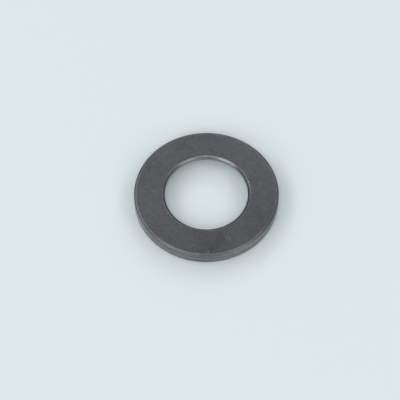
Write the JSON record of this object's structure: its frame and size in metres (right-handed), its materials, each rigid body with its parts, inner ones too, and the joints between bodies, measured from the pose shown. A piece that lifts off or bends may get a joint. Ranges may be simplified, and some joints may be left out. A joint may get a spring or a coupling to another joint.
{
  "type": "plain washer",
  "caption": "Flat round washer with chamfered edges and a plain central bore, in blackened steel.",
  "frame": {"origin": "centre of the lower flat face, on the bore axis", "axes": "+Z along the bore axis, from the relieved lower face to the upper face; X and Y lie in the lower face"},
  "size_m": [0.03, 0.03, 0.003],
  "materials": {
    "blackened_steel": "satin black oxide over turned steel, rubbed lighter along the edges"
  },
  "bodies": {
    "root": {"washer": "blackened_steel"}
  },
  "joints": []
}
